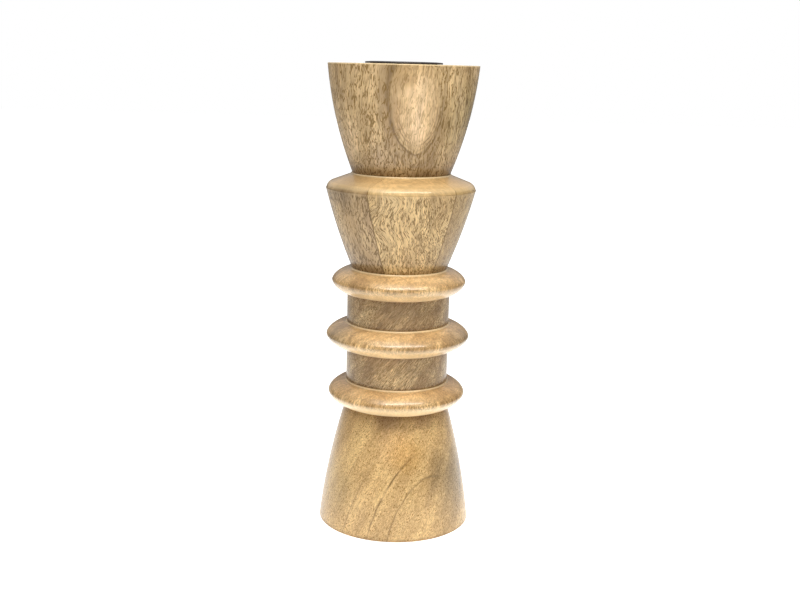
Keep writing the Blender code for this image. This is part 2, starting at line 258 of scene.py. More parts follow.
class Tree:
    """A material's node tree, with short ways to add the nodes that the looks need."""

    def __init__(self, name):
        self.material = bpy.data.materials.new(name)
        self.material.use_nodes = True
        self.nodes = self.material.node_tree.nodes
        self.links = self.material.node_tree.links
        self.shader = self.nodes["Principled BSDF"]

    def add(self, kind, inputs=(), **settings):
        made = self.nodes.new(kind)
        for key, value in settings.items():
            setattr(made, key, value)
        for key, value in dict(inputs).items():
            self.put(made.inputs[key], value)
        return made

    def put(self, socket, value):
        if isinstance(value, bpy.types.NodeSocket):
            self.links.new(value, socket)
        else:
            socket.default_value = value

    def math(self, operation, a, b=0.0, c=0.0, clamp=False):
        made = self.add("ShaderNodeMath", operation=operation, use_clamp=clamp)
        for socket, value in zip(made.inputs, (a, b, c)):
            self.put(socket, value)
        return made.outputs[0]

    def vector(self, operation, a, b=(0.0, 0.0, 0.0), scale=1.0):
        made = self.add("ShaderNodeVectorMath", operation=operation)
        self.put(made.inputs[0], a)
        self.put(made.inputs[1], b)
        if operation == "SCALE":
            self.put(made.inputs["Scale"], scale)
        return made.outputs["Value"] if operation == "LENGTH" else made.outputs["Vector"]

    def noise(self, where, scale, detail=2.0, rough=0.5, output="Fac", w=None, **settings):
        made = self.add("ShaderNodeTexNoise", **settings)
        if w is not None:
            self.put(made.inputs["W"], w)
        socket = "W" if settings.get("noise_dimensions") == "1D" else "Vector"
        self.put(made.inputs[socket], where)
        made.inputs["Scale"].default_value = scale
        made.inputs["Detail"].default_value = detail
        made.inputs["Roughness"].default_value = rough
        return made.outputs[output]

    def cells(self, where, scale):
        made = self.add("ShaderNodeTexVoronoi", {"Vector": where, "Scale": scale})
        return made.outputs["Distance"], made.outputs["Color"]

    def wander(self, where, stretch, scale, reach):
        """A slow noise that pushes points about by up to half its reach, across the log's Z."""
        push = self.noise(self.vector("MULTIPLY", where, stretch), scale, 1.0, 0.5, "Color")
        push = self.vector("SUBTRACT", push, (0.5, 0.5, 0.5))
        return self.vector("MULTIPLY", push, (2.0 * reach, 2.0 * reach, 0.0))

    def smooth(self, value, low, high, to_low=0.0, to_high=1.0):
        made = self.add("ShaderNodeMapRange", interpolation_type="SMOOTHSTEP")
        for socket, given in zip(made.inputs, (value, low, high, to_low, to_high)):
            self.put(socket, given)
        return made.outputs[0]

    def mix(self, share, a, b, blend="MIX"):
        made = self.add("ShaderNodeMix", data_type="RGBA", blend_type=blend)
        made.clamp_factor = True
        self.put(made.inputs[0], share)
        for socket, colour in zip((made.inputs[6], made.inputs[7]), (a, b)):
            self.put(socket, colour if isinstance(colour, bpy.types.NodeSocket) else (*colour, 1.0))
        return made.outputs[2]

    def ramp(self, value, stops):
        made = self.add("ShaderNodeValToRGB", {"Fac": value})
        elements = made.color_ramp.elements
        while len(elements) < len(stops):
            elements.new(0.5)
        for element, (place, colour) in zip(elements, stops):
            element.position = place
            element.color = (*colour, 1.0)
        return made.outputs["Color"]

    def component(self, vector, axis):
        return self.add("ShaderNodeSeparateXYZ", {"Vector": vector}).outputs[axis]

    def squeeze(self, where, share):
        """Points squeezed along the log's Z, which draws a pattern out along the fibres."""
        return self.vector("MULTIPLY", where, (1.0, 1.0, share))

    def place_in_object(self):
        return self.add("ShaderNodeTexCoord").outputs["Object"]

    def finish(self, **values):
        """Set the shader's own sockets, by names with underscores for spaces."""
        for key, value in values.items():
            socket = self.shader.inputs[key.replace("_", " ")]
            self.put(socket, value if not isinstance(value, tuple) or len(value) != 3 else (*value, 1.0))
        return self.material


# What all the mango looks share. Scales are per millimetre, stretches are shares of the scale
# across the fibres, and edges are where a step in a noise starts and ends.
SWAY_SCALE = 0.04
BAND_EDGES = (0.36, 0.66)
SLOPE_SCALE = 0.05
HEART = 10.0
TONE_STRETCH = 0.35
STREAK_EDGES = (0.28, 0.74)
CROWD_SCALE = 0.09
CROWD_STRETCH = 0.5
CROWD_SHARE = 0.6
PORE_CHANCE_SPAN = 0.25
PORE_VARIETY = 0.14
BREAK_SCALE = 0.75
BREAK_SPAN = 0.1
LAYER_COUNT = 4.0
LAYER_RUN = 0.3
LAYER_WAVE = 0.12
LAYER_EDGES = (0.5, 0.62)
END_GRAIN_EDGES = (0.35, 0.85)
FADE_SCALE = 0.12
FADE_EDGES = (0.3, 0.6)
FADE_LEAST = 0.35
SEAM_HALF_WIDTH = 0.1 * MM
SEAM_REACH = 0.5 * MM
SEAM_HIDDEN = 0.85
PORE_ROUGHNESS = 0.2
PORE_DEPTH = 0.06 * MM
STREAK_RELIEF = 0.4
LACQUER_TINT = (1.0, 0.92, 0.75)


def wood(name, look):
    """Lacquered mango wood, as a solid pattern in a log's own frame.

    The log's Z runs along its fibres and its pith is the line x = y = 0, in millimetres, so growth
    rings, pores and streaks are cut by the turned surface as they are in a real blank.
    """
    tree = Tree(name)
    pith = Vector((*look["pith"], look["level"]))
    from_pith = tree.vector("SUBTRACT", tree.vector("SCALE", tree.place_in_object(), scale=1 / MM), pith)
    height = tree.component(from_pith, "Z")
    lean = tree.vector("SCALE", (*look["lean"], 0.0), scale=height)
    placed = tree.vector("SUBTRACT", from_pith, lean)

    def off_level(level):
        return tree.math("ABSOLUTE", tree.math("SUBTRACT", height, level - look["level"]))

    def off_point(point):
        return tree.vector("LENGTH", tree.vector("SUBTRACT", from_pith, Vector(point) - pith))

    # Growth rings: the log isn't quite round, and its bands are uneven.
    sway = tree.wander(tree.vector("ADD", placed, look["seed"]), (1.0, 1.0, 0.6), SWAY_SCALE, look["sway"])
    ring = tree.vector("LENGTH", tree.squeeze(tree.vector("ADD", placed, sway), 0.0))
    bands = tree.noise(ring, 1.0 / look["ring_width"], 3.0, 0.6, noise_dimensions="1D")
    bands = tree.smooth(bands, *BAND_EDGES)

    # Fibres: they wind round the log at a slope, and ripple.
    slope = tree.noise(placed, SLOPE_SCALE, 1.0)
    slope = tree.math("MULTIPLY_ADD", slope, look["slope_change"], look["slope"])
    winding = tree.math("DIVIDE", tree.math("MULTIPLY", height, slope), tree.math("MAXIMUM", ring, HEART))
    wound = tree.add(
        "ShaderNodeVectorRotate",
        {"Vector": placed, "Angle": tree.math("MULTIPLY", winding, -1.0)},
        rotation_type="Z_AXIS",
    ).outputs["Vector"]
    wound = tree.vector("ADD", wound, look["seed"])
    ripple = tree.wander(wound, (1.0, 1.0, 0.7), look["ripple_scale"], look["ripple"])
    ripple_depth = tree.component(ripple, "X")
    fibre = tree.vector("ADD", wound, ripple)

    # Streaks along the fibres, and broad changes of tone.
    streaks = tree.squeeze(fibre, look["streak_stretch"])
    streaks = tree.noise(streaks, look["streak_scale"], 4.0, 0.62)
    tone = tree.noise(tree.squeeze(fibre, TONE_STRETCH), look["tone_scale"], 3.0, 0.55)

    # Pores: dark strokes along the fibres, and dots on end grain; they crowd in patches.
    crowd = tree.noise(tree.squeeze(fibre, CROWD_STRETCH), CROWD_SCALE, 2.0)
    away, cell = tree.cells(tree.squeeze(fibre, look["pore_stretch"]), 1.0 / look["pore_spacing"])
    kind = tree.add("ShaderNodeSeparateColor", {"Color": cell}).outputs
    chance = tree.math("ADD", kind[0], crowd)
    chance = tree.smooth(chance, look["pore_chance"], look["pore_chance"] + PORE_CHANCE_SPAN)
    width = tree.math("MULTIPLY_ADD", kind[1], PORE_VARIETY, look["pore_size"])
    pores = tree.smooth(away, tree.math("MULTIPLY", width, 0.5), width, 1.0, 0.0)
    pores = tree.math("MULTIPLY", pores, chance)

    # Longer strokes: crests of a drawn-out noise, broken up at random and most where pores crowd.
    run = tree.noise(tree.squeeze(fibre, look["stroke_stretch"]), look["stroke_scale"], 2.0, 0.55)
    crest = tree.math("ABSOLUTE", tree.math("SUBTRACT", run, 0.5))
    broken = tree.noise(tree.squeeze(fibre, look["stroke_stretch"] * 2.0), BREAK_SCALE, 1.0)
    broken = tree.math("MULTIPLY_ADD", crowd, CROWD_SHARE, broken)
    broken = tree.smooth(broken, look["stroke_level"], look["stroke_level"] + BREAK_SPAN)
    strokes = tree.smooth(crest, look["stroke_width"] * 0.45, look["stroke_width"], 1.0, 0.0)
    strokes = tree.math("MULTIPLY", strokes, broken)

    # Thin growth layers, which show as wavy contour lines where the surface lies along them.
    layer = tree.vector("MULTIPLY", fibre, (LAYER_RUN, LAYER_RUN, LAYER_RUN * 0.5))
    depth = tree.math("MULTIPLY", tree.math("MULTIPLY_ADD", ripple_depth, LAYER_WAVE, ring), LAYER_COUNT)
    layers = tree.noise(layer, 1.0, 2.0, 0.55, noise_dimensions="4D", w=depth)
    layers = tree.math("MULTIPLY", tree.smooth(layers, *LAYER_EDGES), look["layer_depth"])
    pores = tree.math("MULTIPLY", pores, look["pore_depth"])
    strokes = tree.math("MULTIPLY", strokes, look["stroke_depth"])
    dark = tree.math("MAXIMUM", tree.math("MAXIMUM", pores, strokes), layers)

    # Surfaces that face up or down cut the fibres across: burnished end grain, smooth and golden.
    facing = tree.component(tree.add("ShaderNodeNewGeometry").outputs["Normal"], "Z")
    facing = tree.math("ABSOLUTE", facing)
    end_grain = tree.smooth(facing, *END_GRAIN_EDGES)
    dark = tree.math("MULTIPLY", dark, tree.math("MULTIPLY_ADD", end_grain, -look["burnish_fill"], 1.0))
    for level, reach, strength in look["polished"]:
        open_grain = tree.smooth(off_level(level), reach * 0.5, reach, 1.0 - strength, 1.0)
        dark = tree.math("MULTIPLY", dark, open_grain)
    if look["calm"]:
        start, share = look["calm"]
        dark = tree.math("MULTIPLY", dark, tree.smooth(ring, start - 0.2, start + 0.7, 1.0, share))

    # The wood's own tones, its darker bands, and strong growth lines, which fade in places.
    spread = look["tone_spread"]
    tones = [(0.5 - spread, look["brown"]), (0.5, look["middle"]), (0.5 + spread, look["pale"])]
    colour = tree.ramp(tone, tones)
    colour = tree.mix(tree.math("MULTIPLY", bands, look["band_strength"]), colour, look["late"])
    fade = tree.smooth(tree.noise(fibre, FADE_SCALE, 2.0), *FADE_EDGES, FADE_LEAST, 1.0)
    waved = tree.math("MULTIPLY_ADD", ripple_depth, look["line_wave"], ring)
    for distance, inner_half, outer_half, strength, tint, centre, reach in look["lines"]:
        off = tree.math("SUBTRACT", waved, distance)
        inside = tree.smooth(off, -inner_half, 0.0)
        outside = tree.smooth(off, 0.0, outer_half, 1.0, 0.0)
        ends = tree.smooth(off_point(centre), reach * 0.75, reach, strength, 0.0)
        share = tree.math("MULTIPLY", tree.math("MULTIPLY", inside, outside), ends)
        colour = tree.mix(tree.math("MULTIPLY", share, fade), colour, tint)

    # Burnish on end grain, then streaks of light and shade, then the dark marks.
    golden = tree.smooth(tone, 0.35, 0.6, look["burnish_strength"] * 0.75, look["burnish_strength"])
    colour = tree.mix(tree.math("MULTIPLY", end_grain, golden), colour, look["burnish"])
    light = tree.smooth(streaks, *STREAK_EDGES, 1.0 - look["streak"], 1.0 + look["streak"])
    shade = tree.add("ShaderNodeCombineColor", {"Red": light, "Green": light, "Blue": light}).outputs[0]
    colour = tree.mix(1.0, colour, shade, "MULTIPLY")
    colour = tree.mix(dark, colour, look["pore"])

    # Sapwood beyond a growth line is lighter.
    if look["sapwood"]:
        start, width, tint = look["sapwood"]
        colour = tree.mix(tree.smooth(ring, start, start + width), colour, tint, "MULTIPLY")

    # Stains: broad soft areas where the colour is multiplied lighter, darker or redder; some are the wood's
    # own tone, and two on the base are painted shadow under the lowest bead.
    for centre, reach, tint, strength in look["stains"]:
        away = tree.math("MULTIPLY_ADD", tone, reach, off_point(centre))
        stain = tree.smooth(away, reach * 0.7, reach * 1.5, strength, 0.0)
        colour = tree.mix(stain, colour, tint, "MULTIPLY")

    # Glue lines: thin dark seams at the planes where a board ends, which the lacquered top hides.
    for normal, offset in look["glue"]:
        across = {0: tree.place_in_object(), 1: normal}
        across = tree.add("ShaderNodeVectorMath", across, operation="DOT_PRODUCT").outputs["Value"]
        off = tree.math("ABSOLUTE", tree.math("SUBTRACT", across, offset))
        seam = tree.smooth(off, SEAM_HALF_WIDTH, SEAM_REACH, look["glue_strength"], 0.0)
        seam = tree.math("MULTIPLY", seam, tree.math("MULTIPLY_ADD", end_grain, -SEAM_HIDDEN, 1.0))
        colour = tree.mix(seam, colour, look["pore"])

    # Painted shade: the colour darkens towards inner corners and the base's foot, where shade falls.
    for level, reach, strength in look["corners"]:
        edge_of_painted_shade = tree.math("MULTIPLY_ADD", tone, reach, reach * 0.5)
        painted_shade = tree.smooth(off_level(level), 0.0, edge_of_painted_shade, strength, 0.0)
        colour = tree.mix(painted_shade, colour, look["painted_shade"], "MULTIPLY")

    # Painted highlights and reflections: pale bands along arrises and seat edges, where lights glint, and on
    # the beads' lower halves, where the floor is reflected.
    steep = tree.smooth(facing, 0.85, 0.99, 1.0, 0.1)
    for level, reach, strength in look["worn"]:
        highlight_share = tree.smooth(off_level(level), reach * 0.5, reach, strength, 0.0)
        colour = tree.mix(tree.math("MULTIPLY", highlight_share, steep), colour, look["worn_wood"])

    rough = tree.math("MULTIPLY_ADD", dark, PORE_ROUGHNESS, look["rough"])
    relief = tree.math("MULTIPLY_ADD", dark, -1.0, tree.math("MULTIPLY", streaks, STREAK_RELIEF))
    bump = tree.add("ShaderNodeBump", {"Strength": 0.3, "Distance": PORE_DEPTH, "Height": relief})
    return tree.finish(
        Base_Color=colour,
        Roughness=rough,
        Normal=bump.outputs["Normal"],
        Specular_IOR_Level=look["specular"],
        Specular_Tint=LACQUER_TINT,
        Coat_Weight=look["coat"],
        Coat_Roughness=look["coat_rough"],
    )


DARK_LINE = (0.16, 0.095, 0.045)
GREY_BROWN = (0.30, 0.205, 0.12)

# The usual look of a piece, in millimetres. "pith" is where the log's heart passes through "level",
# and "lean" is how far it leans for each millimetre up. Its lists hold:
#   lines: ring distance, width on its inner and outer side, strength, colour, centre and reach;
#   stains: centre, reach, tint, strength;
#   corners (painted shade), painted highlights and reflections, polished: level, reach, strength;
#   glue: the normal of a board's end plane, and its distance in metres.
# "calm" is a ring distance and the share of the dark marks left beyond it, and "sapwood" is a ring
# distance, the width of its edge and a tint.
MANGO = {
    "lean": (0.0, 0.0),
    "pith": (0.0, 60.0),
    "level": 150.0,
    "seed": (0.0, 0.0, 0.0),
    "sway": 2.0,
    "ripple": 1.1,
    "ripple_scale": 0.22,
    "ring_width": 4.5,
    "band_strength": 0.3,
    "lines": [],
    "corners": [],
    "worn": [],
    "polished": [],
    # The colour of the painted highlights and reflections.
    "worn_wood": (0.95, 0.76, 0.46),
    "calm": None,
    "line_wave": 0.05,
    "glue": [],
    "glue_strength": 0.95,
    # The colour of the painted shade in corners.
    "painted_shade": (0.36, 0.30, 0.22),
    "slope": 0.0,
    "slope_change": 0.2,
    "tone_scale": 0.05,
    "tone_spread": 0.18,
    "stains": [],
    "sapwood": None,
    "pore_spacing": 1.15,
    "pore_stretch": 0.17,
    "pore_size": 0.24,
    "pore_depth": 0.9,
    "pore_chance": 0.7,
    "layer_depth": 0.3,
    "stroke_scale": 0.66,
    "stroke_stretch": 0.12,
    "stroke_width": 0.06,
    "stroke_level": 0.64,
    "stroke_depth": 0.85,
    "streak": 0.14,
    "streak_scale": 0.8,
    "streak_stretch": 0.06,
    "pale": (0.72, 0.49, 0.22),
    "middle": (0.64, 0.42, 0.185),
    "brown": (0.45, 0.28, 0.115),
    "late": (0.38, 0.24, 0.10),
    "pore": (0.17, 0.095, 0.025),
    "burnish": (0.67, 0.43, 0.185),
    "burnish_strength": 0.95,
    "burnish_fill": 0.7,
    "rough": 0.42,
    "specular": 0.3,
    "coat": 0.55,
    "coat_rough": 0.15,
}


def mango(name, **own):
    return wood(name, {**MANGO, **own})


def black_enamel():
    """Satin black enamel on pressed steel, with a slight orange peel."""
    tree = Tree("black_enamel")
    where = tree.place_in_object()
    peel = tree.noise(where, 900.0, 3.0)
    dust = tree.noise(where, 260.0, 4.0, 0.7)
    colour = tree.ramp(dust, [(0.35, (0.030, 0.026, 0.028)), (0.75, (0.060, 0.053, 0.056))])
    bump = tree.add("ShaderNodeBump", {"Strength": 0.25, "Distance": 0.00004, "Height": peel})
    return tree.finish(
        Base_Color=colour,
        Roughness=tree.smooth(dust, 0.3, 0.7, 0.3, 0.42),
        Normal=bump.outputs["Normal"],
        Specular_IOR_Level=0.6,
    )


def zinc():
    """Zinc-plated steel, dulled unevenly."""
    tree = Tree("zinc_plate")
    where = tree.place_in_object()
    cloud = tree.noise(where, 300.0, 4.0, 0.6)
    colour = tree.ramp(cloud, [(0.3, (0.36, 0.36, 0.35)), (0.7, (0.62, 0.62, 0.61))])
    bump = tree.add("ShaderNodeBump", {"Strength": 0.2, "Distance": 0.00003, "Height": cloud})
    return tree.finish(
        Base_Color=colour,
        Metallic=1.0,
        Roughness=tree.smooth(cloud, 0.3, 0.7, 0.28, 0.46),
        Normal=bump.outputs["Normal"],
    )


def felt():
    """Dark green wool felt: matted fibres that catch the light."""
    tree = Tree("green_felt")
    where = tree.place_in_object()
    mat = tree.noise(where, 1400.0, 6.0, 0.7)
    patches = tree.noise(where, 90.0, 3.0)
    colour = tree.ramp(mat, [(0.3, (0.006, 0.022, 0.010)), (0.7, (0.028, 0.085, 0.042))])
    colour = tree.mix(tree.smooth(patches, 0.4, 0.65, 0.0, 0.45), colour, (0.05, 0.10, 0.06))
    bump = tree.add("ShaderNodeBump", {"Strength": 0.8, "Distance": 0.0003, "Height": mat})
    return tree.finish(Base_Color=colour, Roughness=0.95, Normal=bump.outputs["Normal"], Sheen_Weight=0.4)


# --- The turnings -----------------------------------------------------------------------------


def make_base(material):
    bottom, _, foot_radius = size_of("base")
    top = top_under("lower_ring")
    recess = bottom + FELT_RECESS
    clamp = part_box("bottom_washer")[1].z + FIT_GAP
    recess_radius = size_of("felt_pad")[2] + FIT_GAP
    flank = arc((BASE_TOP_RADIUS, top), (foot_radius + FOOT_CORNER_CUT, bottom), BASE_BULGE, 40)
    foot = fillet(flank[-2], flank[-1], (0.0, bottom), FOOT_ROUND)
    underside = [(recess_radius, bottom), (recess_radius, recess), (COUNTERBORE_RADIUS, recess)]
    underside += [(COUNTERBORE_RADIUS, clamp), (ROD_BORE_RADIUS, clamp), (ROD_BORE_RADIUS, top)]
    turned("base_turning", "base", flank[:-1] + foot + underside, material)


def make_ring(name, above, top_radius, bottom_radius, material):
    bottom, high, radius = size_of(name)
    top = top_under(above)
    side = seat(top_radius, top)
    nose = (radius, (bottom + high) / 2)
    shoulder = (top_radius + SEAT_MARGIN * 0.9, top - SEAT_RISE)
    curve = bead(shoulder, nose, (bottom_radius, bottom))
    start = next(index for index, point in enumerate(curve) if point[0] > side[-1][0])
    profile = bored(side[:-1] + curve[start:])
    turned(name + "_turning", name, profile, material)


def make_neck(name, above, material):
    bottom, _, radius = size_of(name)
    top = top_under(above)
    profile = [(radius, top)] + fillet((radius, top), (radius, bottom), (0.0, bottom), SMALL_ROUND, 4)
    turned(name + "_turning", name, bored(profile), material)


def cone_profile():
    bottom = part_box("cone_board_back")[0].z
    top = top_under("bowl")
    foot_radius = size_of("upper_ring")[2] - CONE_FOOT_INSET
    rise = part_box("bowl")[0].z
    side = seat(BOWL_FOOT_RADIUS, top)
    corner = (SHOULDER_RADIUS, rise - SHOULDER_DROP)
    flank = arc(corner, (foot_radius, bottom), CONE_BULGE, 40)
    shoulder = fillet(side[-1], corner, flank[1], SHOULDER_FILLET, 16)
    return bored(side + shoulder + flank[2:])


def make_cone_board(node, keep_sides, material):
    """One board of the cone: the whole turning, cut on its glue planes and capped."""
    shape = turn(cone_profile())
    for normal, offset in keep_sides:
        direction = GLUE_TURN @ Vector(normal)
        cut = bmesh.ops.bisect_plane(
            shape,
            geom=shape.verts[:] + shape.edges[:] + shape.faces[:],
            plane_co=direction * (offset - GLUE_GAP / 2),
            plane_no=direction,
            clear_outer=True,
        )
        rim = [item for item in cut["geom_cut"] if isinstance(item, bmesh.types.BMEdge)]
        bmesh.ops.triangle_fill(shape, use_beauty=True, edges=rim)
    return keep(object_from(shape, node + "_turning", material), "stand", node)


def make_bowl(material):
    bottom, rim_level, _ = size_of("bowl")
    socket_floor = rim_level - SOCKET_DEPTH
    clamp = socket_floor - COUNTERBORE_DEPTH
    flank = arc((RIM_RADIUS, rim_level), (BOWL_FOOT_RADIUS, bottom), BOWL_BULGE, 48)
    rim = fillet((SOCKET_RADIUS, rim_level), flank[0], flank[1], ARRIS_ROUND)
    foot = fillet(flank[-2], flank[-1], (0.0, bottom), SMALL_ROUND, 4)
    mouth = (SOCKET_RADIUS, rim_level)
    mouth = fillet((SOCKET_RADIUS, socket_floor), mouth, (RIM_RADIUS, rim_level), SOCKET_MOUTH_ROUND)
    inside = [(ROD_BORE_RADIUS, bottom), (ROD_BORE_RADIUS, clamp), (COUNTERBORE_RADIUS, clamp)]
    inside += [(COUNTERBORE_RADIUS, socket_floor), (SOCKET_RADIUS, socket_floor)]
    turned("bowl_turning", "bowl", rim + flank[1:-1] + foot + inside + mouth, material)


# --- Metal and felt ---------------------------------------------------------------------------


def make_cup(material):
    """The pressed candle cup: a domed flange, a rolled lip and a floor with a pressed ring."""
    floor, top, flange_radius = size_of("candle_cup")
    under_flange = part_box("bowl")[1].z + FIT_GAP
    wall, bore = 1.0 * MM, 20.0 * MM
    ring_start, ring_end, ring_rise = 9.0 * MM, 12.0 * MM, 0.35 * MM
    inner_heel_round, outer_heel_round = 2.0 * MM, 3.0 * MM
    lip_round, edge_round, rim_round, neck_round = 0.9 * MM, 0.45 * MM, 0.25 * MM, 0.4 * MM
    floor_top = floor + wall
    lip = (bore, top)
    edge = (flange_radius, under_flange + wall)
    rim = (flange_radius, under_flange)
    neck = (bore + wall, under_flange)
    inner_heel = (bore, floor_top)
    outer_heel = (bore + wall, floor)
    profile = [(0.0, floor_top), (ring_start, floor_top)]
    profile += arc((ring_start, floor_top), (ring_end, floor_top), ring_rise, 8)[1:]
    profile += fillet((0.0, floor_top), inner_heel, lip, inner_heel_round)
    profile += fillet(inner_heel, lip, edge, lip_round)
    profile += fillet(lip, edge, rim, edge_round)
    profile += fillet(edge, rim, neck, rim_round, 4)
    profile += fillet(rim, neck, outer_heel, neck_round, 4)
    profile += fillet(neck, outer_heel, (0.0, floor), outer_heel_round)
    profile += [(0.0, floor)]
    turned("candle_cup_pressing", "candle_cup", profile, material, body="cup")


def make_washer(node, material):
    bottom, top, radius = size_of(node)
    rolled_side, sheared_side = 0.3 * MM, 0.15 * MM
    outer = fillet((0.0, top), (radius, top), (radius, bottom), rolled_side, 4)
    outer += fillet((radius, top), (radius, bottom), (0.0, bottom), sheared_side, 3)
    turned(node + "_disc", node, bored(outer), material, steps=SMALL)


def make_nut(node, material):
    """A hexagon nut with its corners turned off at 30 degrees and a countersunk bore."""
    low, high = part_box(node)
    bottom, top = low.z, high.z
    flats = (high.x - low.x) / 2
    face_radius = flats * 0.95
    bore, sink = 4.2 * MM, 0.6 * MM
    corner_slope = math.tan(math.radians(30))
    shape = bmesh.new()
    columns = []
    for step in range(SMALL):
        angle = 2 * math.pi * step / SMALL
        from_flat = (angle + math.pi / 6) % (math.pi / 3) - math.pi / 6
        side = flats / math.cos(from_flat)
        drop = max(0.0, side - face_radius) * corner_slope
        outline = [(bore, bottom + sink), (bore, top - sink), (bore + sink, top), (face_radius, top)]
        outline += [(side, top - drop), (side, bottom + drop), (face_radius, bottom), (bore + sink, bottom)]
        direction = (math.cos(angle), math.sin(angle))
        columns.append([shape.verts.new((r * direction[0], r * direction[1], z)) for r, z in outline])
    for index, column in enumerate(columns):
        following = columns[(index + 1) % SMALL]
        for place in range(len(column)):
            after = (place + 1) % len(column)
            shape.faces.new((column[place], following[place], following[after], column[after]))
    keep(object_from(shape, node + "_hexagon", material), "stand", node)


def make_rod(material):
    """The tie rod: plain along its length, with an M8 thread cut on each end."""
    bottom, top, radius = size_of("tie_rod")
    pitch, depth, threaded = 1.25 * MM, 0.68 * MM, 22.0 * MM
    chamfer, end_share = 0.8 * MM, 0.8
    around, per_pitch = 32, 8
    thread_rows = int(threaded / pitch * per_pitch)
    step = pitch / per_pitch
    levels = [bottom + chamfer + step * index for index in range(thread_rows)]
    levels += [top - chamfer - step * index for index in reversed(range(thread_rows))]
    shape = bmesh.new()
    rows = []
    for level in levels:
        in_thread = min(level - bottom, top - level) < threaded - pitch
        row = []
        for place in range(around):
            angle = 2 * math.pi * place / around
            phase = (level / pitch - place / around) % 1.0
            groove = depth * (1 - abs(2 * phase - 1)) if in_thread else 0.0
            r = radius - groove
            row.append(shape.verts.new((r * math.cos(angle), r * math.sin(angle), level)))
        rows.append(row)
    for lower, upper in zip(rows, rows[1:]):
        for place in range(around):
            after = (place + 1) % around
            shape.faces.new((lower[place], lower[after], upper[after], upper[place]))
    for row, level in ((rows[0], bottom), (rows[-1], top)):
        ends = [shape.verts.new((v.co.x * end_share, v.co.y * end_share, level)) for v in row]
        for place in range(around):
            after = (place + 1) % around
            shape.faces.new((row[place], row[after], ends[after], ends[place]))
        shape.faces.new(ends)
    keep(object_from(shape, "tie_rod_threaded", material), "stand", "tie_rod")


def make_felt(material):
    bottom, top, radius = size_of("felt_pad")
    cut_round = 0.3 * MM
    edge = fillet((0.0, top), (radius, top), (radius, bottom), cut_round, 4)
    edge += fillet((radius, top), (radius, bottom), (0.0, bottom), cut_round, 4)
    middle = [(radius * share, bottom) for share in (0.75, 0.5, 0.25)]
    profile = [(0.0, top)] + edge + middle + [(0.0, bottom)]
    disc = turned("felt_disc", "felt_pad", profile, material, steps=SMALL)


# --- Studio -----------------------------------------------------------------------------------


def make_camera():
    data = bpy.data.cameras.new("camera")
    data.lens = CAMERA_LENS
    camera = bpy.data.objects.new("camera", data)
    bpy.context.scene.collection.objects.link(camera)
    upright = Matrix.Rotation(math.pi / 2, 4, "X")
    pitch = Matrix.Rotation(-CAMERA_PITCH, 4, "X")
    roll = Matrix.Rotation(CAMERA_ROLL, 4, "Z")
    yaw = Matrix.Rotation(CAMERA_YAW, 4, "Z")
    place = Matrix.Translation((0.0, -CAMERA_DISTANCE, CAMERA_HEIGHT))
    camera.matrix_world = place @ yaw @ pitch @ upright @ roll
    bpy.context.scene.camera = camera


def softbox(name, azimuth, elevation, distance, size, power, colour):
    """A rectangular light that faces the stem."""
    data = bpy.data.lights.new(name, "AREA")
    data.shape = "RECTANGLE"
    data.size, data.size_y = size
    data.energy = power
    data.color = colour
    light = bpy.data.objects.new(name, data)
    bpy.context.scene.collection.objects.link(light)
    turn_to, rise = math.radians(azimuth), math.radians(elevation)
    towards = Vector((math.cos(turn_to) * math.cos(rise), math.sin(turn_to) * math.cos(rise), math.sin(rise)))
    light.location = STEM_MIDDLE + towards * distance
    light.rotation_euler = towards.to_track_quat("Z", "Y").to_euler()


def make_sky():
    """Even white light; the camera sees plain white behind the floor."""
    world = bpy.data.worlds.new("studio")
    bpy.context.scene.world = world
    world.use_nodes = True
    nodes, links = world.node_tree.nodes, world.node_tree.links
    background = nodes["Background"]
    background.inputs["Color"].default_value = (1.0, 1.0, 1.0, 1.0)
    seen = nodes.new("ShaderNodeLightPath")
    strength = nodes.new("ShaderNodeMapRange")
    strength.inputs["To Min"].default_value = SKY_STRENGTH
    strength.inputs["To Max"].default_value = 1.0
    links.new(seen.outputs["Is Camera Ray"], strength.inputs["Value"])
    links.new(strength.outputs[0], background.inputs["Strength"])


def make_floor():
    """A white table with a painted glow round the object that stands in for the light it bounces up; the
    camera sees all of it plain white.
    """
    tree = Tree("white_floor")
    where = tree.place_in_object()
    cloud = tree.noise(where, 3.0, 3.0)
    colour = tree.ramp(cloud, [(0.3, (0.88, 0.88, 0.88)), (0.7, (0.92, 0.92, 0.92))])
    out = tree.vector("LENGTH", tree.vector("MULTIPLY", where, (PAINTED_GLOW_SQUEEZE, 1.0, 1.0)))
    # Painted bounce glow: strongest round the object, fading outwards and sooner to the sides.
    painted_glow = tree.smooth(out, *PAINTED_GLOW_FADE, 1.0, PAINTED_GLOW_LEAST)
    seen = tree.add("ShaderNodeLightPath").outputs["Is Camera Ray"]
    tree.finish(
        Base_Color=colour,
        Roughness=0.9,
        Emission_Color=(1.0, 1.0, 1.0),
        Emission_Strength=tree.math("MAXIMUM", seen, painted_glow),
    )
    mesh = bpy.data.meshes.new("floor")
    shape = bmesh.new()
    bmesh.ops.create_grid(shape, x_segments=8, y_segments=8, size=FLOOR_SIZE)
    shape.to_mesh(mesh)
    shape.free()
    mesh.materials.append(tree.material)
    floor = bpy.data.objects.new("floor", mesh)
    bpy.context.scene.collection.objects.link(floor)
    floor.location.z = CAD_BOX[0].z - CONTACT_GAP


def make_studio():
    make_camera()
    make_sky()
    make_floor()
    for name, settings in SOFTBOXES.items():
        softbox(name, *settings)
    bpy.context.scene.view_settings.view_transform = "Standard"


# --- The whole --------------------------------------------------------------------------------

# Levels in millimetres: the beads' upper edges, the collars' lower and upper ends, the feet of the
# cone and the bowl, and the bowl's rim.
BEAD_TOPS = (97.6, 136.7, 172.9)
COLLARS = ((97.6, 119.0), (136.75, 155.9))
CONE_FOOT = 172.9
BOWL_FOOT = 234.7
RIM = 303.5

# How far the heart of the bowl's U-shaped figure is from the pith.
BOWL_U = 104.15

